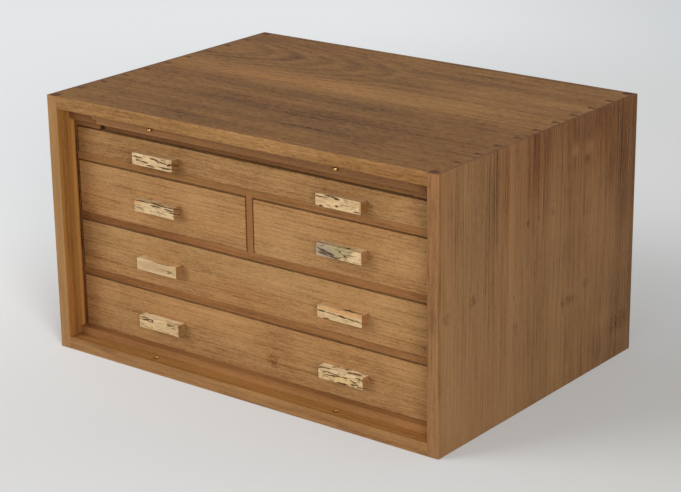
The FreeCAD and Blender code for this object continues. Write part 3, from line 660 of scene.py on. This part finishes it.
pull("pull_upper_left", "drawer_upper_left", True, shift=662, dashes=0.5, washes=[
    (-28, 5, 8, 3, orange_tan), (20, 10.5, 20, 1.5, tan)], strokes=[
    (-20, 7.2, 13, 0.7, 0), (2, 7.6, 8, 0.9, 0), (3, 4.3, 7, 0.9, 0), (15, 6.6, 10, 0.8, -0.03),
    (29, 6.8, 5, 0.8, 0), (26, 3.6, 7, 0.7, 0), (30, 0.4, 4, 0.6, 0), (10, -3, 10, 0.35, 0)])
pull("pull_upper_right", "drawer_upper_right", False, shift=993, dashes=0.6, washes=[
    (-22, 0, 19, 11, blue_grey), (4, 3, 15, 9, green_grey), (-16, -3, 12, 3, srgb(112, 98, 86))],
    strokes=[
    (-25, 1, 6, 0.8, -0.15), (-22, -1.4, 6, 0.7, -0.15), (-24, -4, 6, 0.8, -0.1),
    (-12, -2.5, 4, 1.0, -0.2), (-6, -6, 6, 0.8, -0.05), (2, 3, 1.8, 0.8, 0), (9, -1, 1.8, 0.8, 0),
    (12, 9, 2, 0.9, 0)])
pull("pull_middle_left", "drawer_middle", True, shift=1324, lines=0.12, dashes=0.15, washes=[
    (0, 1, 34, 7, srgb(182, 150, 110)), (12, 10.5, 32, 2.5, orange_tan)], strokes=[
    (24, -0.8, 5, 0.5, -0.1), (21, -2.6, 2.5, 0.5, 0), (10, 7.6, 12, 0.35, 0)])
pull("pull_middle_right", "drawer_middle", False, shift=1655, lines=0.2, dashes=0.2, washes=[
    (0, 5.6, 46, 3.4, orange_tan), (0, 11, 46, 2.6, srgb(198, 152, 100))], strokes=[
    (-28, 1.4, 6, 0.9, 0), (-13, 1.0, 7, 0.5, 0), (4, 0.3, 6, 1.0, -0.06), (20, -0.8, 11, 0.6, -0.05),
    (-20, -7.4, 4, 1.0, 0), (15, 9.6, 14, 0.4, 0)])
pull("pull_bottom_left", "drawer_bottom", True, shift=1986, lines=0.3, dashes=0.35, washes=[
    (0, 10.5, 60, 2.4, pale_cream), (24, 8.6, 14, 0.7, tan)], strokes=[
    (-26, 6.6, 8, 0.6, 0), (-25, 3.6, 5, 0.8, 0), (-17, 5.2, 6, 0.6, 0.12), (-16, 3, 6, 0.6, -0.1),
    (-11, 4.4, 1.2, 1.6, 0), (21, 5.6, 6, 0.6, -0.05), (17, 4, 3, 0.6, 0), (26, 2.2, 4, 0.4, 0)])
pull("pull_bottom_right", "drawer_bottom", False, shift=2317, lines=0.9, dashes=0.7, washes=[
    (0, -2, 40, 5, srgb(208, 178, 124)), (0, 10.5, 60, 2.4, pale_cream)], strokes=[
    (-22, 7.4, 8, 0.5, 0), (19, 9.4, 9, 0.6, 0), (-14, 2.6, 10, 0.5, -0.05), (-6, 0.6, 7, 0.6, 0.05),
    (-17, -0.5, 7, 0.5, 0), (3, -6.8, 7, 0.9, 0), (20, -1, 5, 0.6, -0.2), (22, -4, 5, 0.6, 0.1),
    (29, -5.5, 4, 0.7, 0), (8, 2, 5, 0.4, 0)])

# Slotted screws hold the pulls from inside the drawers. They are zinc-plated steel: a threaded
# shank that has been driven into the pull and a round head on the back of the drawer front.
zinc = Finish("zinc_plated_steel")
zinc_point = zinc.point()
spangle = zinc.noise(zinc.stretched(zinc_point, (1.6, 1.6, 1.6)), 3, 0.6)
scratch = zinc.noise(zinc.stretched(zinc_point, (9, 1.2, 4), 60), 2, 0.7)
zinc_colour = zinc.ramp(spangle, (0.3, srgb(150, 151, 152)), (0.55, srgb(184, 185, 184)),
                        (0.75, srgb(204, 202, 194)))
zinc_steel = zinc.surface(zinc_colour, 0.28 + spangle * 0.16 + (scratch - 0.5) * 0.2, scratch,
                          0.00003, Metallic=1)


def screw_row(name, node, drawer):
    """The screws of one drawer's pulls, two to a pull, from the box of their node."""
    low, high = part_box(node)
    tip, back = low.y, high.y
    height = (low.z + high.z) / 2
    head_radius, head_length, apart = 0.0035, 0.0024, 0.036
    places = [low.x + head_radius, low.x + head_radius + apart]
    if "upper" not in drawer:
        places += [high.x - head_radius - apart, high.x - head_radius]
    seat = back - head_length
    root, crest, pitch, shank, shank_length = 0.0014, 0.0020, 0.0014, 0.0019, 0.0075
    profile = [(0, tip), (0.0006, tip + 0.0006)]
    thread = tip + 0.0010
    while thread < seat - shank_length:
        profile += [(root, thread), (crest, thread + 0.0006), (root, thread + 0.0010)]
        thread += pitch
    profile += [(shank, thread + 0.0004), (shank, seat), (0.0033, seat), (head_radius, seat + 0.0003),
                (0.0034, seat + 0.0010), (0.0028, seat + 0.0018), (0.0017, back - 0.0002), (0, back)]
    slot_half, slot_floor = 0.00045, back - 0.0011
    screws = bmesh.new()
    for place in places:
        turned = bmesh.new()
        points = [turned.verts.new((radius, y, 0)) for radius, y in profile]
        edges = [turned.edges.new(pair) for pair in zip(points, points[1:])]
        bmesh.ops.spin(turned, geom=points + edges, cent=(0, 0, 0), axis=(0, 1, 0), angle=tau,
                       steps=24, use_merge=True, use_duplicate=False)
        bmesh.ops.remove_doubles(turned, verts=turned.verts, dist=0.00002)
        for slot_side in (-slot_half, slot_half):
            bmesh.ops.bisect_plane(turned, geom=turned.verts[:] + turned.edges[:] + turned.faces[:],
                                   dist=0.00001, plane_co=(0, 0, slot_side), plane_no=(0, 0, 1))
        between = [face for face in turned.faces
                   if abs(face.calc_center_median().z) < slot_half
                   and face.calc_center_median().y > slot_floor]
        sunk = bmesh.ops.extrude_face_region(turned, geom=between)["geom"]
        bmesh.ops.delete(turned, geom=between, context="FACES")
        for vert in sunk:
            if isinstance(vert, bmesh.types.BMVert):
                vert.co.y = min(vert.co.y, slot_floor)
        bmesh.ops.recalc_face_normals(turned, faces=turned.faces)
        bmesh.ops.translate(turned, verts=turned.verts, vec=(place, 0, height))
        one = bpy.data.meshes.new("one_screw")
        turned.to_mesh(one)
        turned.free()
        screws.from_mesh(one)
        bpy.data.meshes.remove(one)
    piece = new_piece(name, screws)
    piece.data.set_sharp_from_angle(angle=radians(35))
    piece.data.materials.append(zinc_steel)
    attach(piece, drawer)
    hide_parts(node)


for drawer in front_tones:
    screw_row(drawer + "_screws", drawer + "_pull_screws", drawer)

# Two brass pins in the cover's front edge drop into two brass bushes in the bottom board when the
# cover shuts the chest. They are turned, left bright, and a little dulled by handling.
brass = Finish("turned_brass")
brass_point = brass.point()
turning = brass.noise(brass.stretched(brass_point, (0.2, 7, 0.2)), 2, 0.6)
dulling = brass.noise(brass.stretched(brass_point, (0.5, 0.5, 0.5), 20), 3, 0.6)
brass_colour = brass.ramp(dulling, (0.3, srgb(176, 134, 74)), (0.5, srgb(214, 172, 100)),
                          (0.75, srgb(232, 196, 124)))
bright_brass = brass.surface(brass_colour, 0.18 + dulling * 0.2 + (turning - 0.5) * 0.12, turning,
                             0.00004, Metallic=1)
dress("cover_pins", bright_brass, ease=0.0002)

bush_low, bush_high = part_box("pin_bushes")
outside = (bush_high.y - bush_low.y) / 2
bush_y = (bush_low.y + bush_high.y) / 2
bore, lip = 0.0027, 0.0006
bush_profile = [(bore, bush_low.z)]
for turn in (0, 22.5, 45, 67.5, 90):
    inwards, downwards = 1 - cos(radians(turn)), 1 - sin(radians(turn))
    bush_profile.append((bore + lip * inwards, bush_high.z - lip * downwards))
bush_profile += [(outside, bush_high.z), (outside, bush_low.z)]
bushes = bmesh.new()
for place in (bush_low.x + outside, bush_high.x - outside):
    points = [bushes.verts.new((place + radius, bush_y, height)) for radius, height in bush_profile]
    edges = [bushes.edges.new(pair) for pair in zip(points, points[1:] + points[:1])]
    bmesh.ops.spin(bushes, geom=points + edges, cent=(place, bush_y, 0), axis=(0, 0, 1), angle=tau,
                   steps=48, use_merge=True, use_duplicate=False)
bmesh.ops.remove_doubles(bushes, verts=bushes.verts, dist=0.00001)
bmesh.ops.recalc_face_normals(bushes, faces=bushes.faces)
bush_piece = new_piece("bushes_with_rounded_lips", bushes)
bush_piece.data.set_sharp_from_angle(angle=radians(35))
bush_piece.data.materials.append(bright_brass)
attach(bush_piece, "case")
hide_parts("pin_bushes")

# The front cover is a frame with a flat panel in its grooves, stowed above the top drawer. Only its
# front rail and the ends of its stiles show until it is drawn out.
cover_wood = (srgb(172, 124, 82), srgb(148, 104, 66), srgb(108, 70, 42))
cover_edge = [(-187, -230, 60, 60, 0.1, 0), (-187, 40, 60, 160, -0.2, 0),
              (-187, 230, 60, 110, -0.18, 0)]
dress("cover_rail_front", timber(
    "cover_rail_front_timber", "x", "z", cover_wood, patches=cover_edge, shift=6700))
dress("cover_rail_rear", timber("cover_rail_rear_timber", "x", "z", cover_wood, shift=6870))
dress("cover_panel", timber("cover_panel_timber", "x", "z", cover_wood, shift=7040))
stile_timber = timber("cover_stile_timber", "y", "z", cover_wood, shift=7300,
                      ends=(0.72, 0.66, 0.58, 1))
dress("cover_stile_left", stile_timber)
dress("cover_stile_right", stile_timber)
